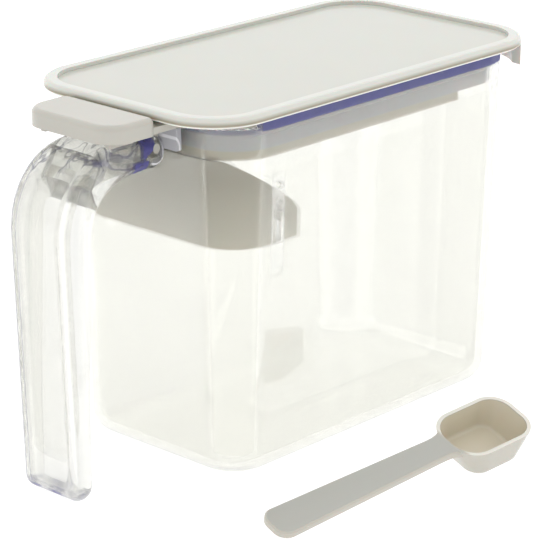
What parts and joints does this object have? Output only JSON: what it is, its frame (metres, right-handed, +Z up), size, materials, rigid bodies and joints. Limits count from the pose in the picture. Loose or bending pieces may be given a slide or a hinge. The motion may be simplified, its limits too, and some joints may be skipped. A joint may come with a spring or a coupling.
{
  "type": "spice box",
  "caption": "Clear lidded box with a hanging handle, thumb-operated gasketed lid, drop-in levelling hood and a small measuring spoon.",
  "frame": {"origin": "on the flat underside of the box, under the middle of the lid", "axes": "+Z up, +X along the box away from the handle, the spoon lies on the -Y side"},
  "size_m": [0.1819, 0.1292, 0.1141],
  "materials": {
    "clear_box": "clear styrene plastic, moulded",
    "clear_handle": "clear styrene plastic, moulded",
    "lid_white": "fine satin",
    "plug_beige": "satin",
    "gasket_silicone": "soft translucent silicone",
    "lever_grey": "fine satin",
    "hood_grey": "satin",
    "spoon_grey": "satin"
  },
  "bodies": {
    "box": {"container": "clear_box", "handle": "clear_handle", "levelling_hood": "hood_grey"},
    "lid": {"lid_cover": "lid_white", "lid_plug": "plug_beige", "gasket": "gasket_silicone", "thumb_lever": "lever_grey"},
    "spoon": {"spoon": "spoon_grey"}
  },
  "joints": [
    {"name": "lid_hinge", "type": "hinge", "parent": "box", "child": "lid", "pos_m": [-0.069, 0, 0.1008], "axis": [0, -1, 0], "range_deg": [0, 12]},
    {"name": "spoon_lift", "type": "slide", "parent": "box", "child": "spoon", "axis": [0, 0, 1], "range_m": [0, 0.06]}
  ]
}
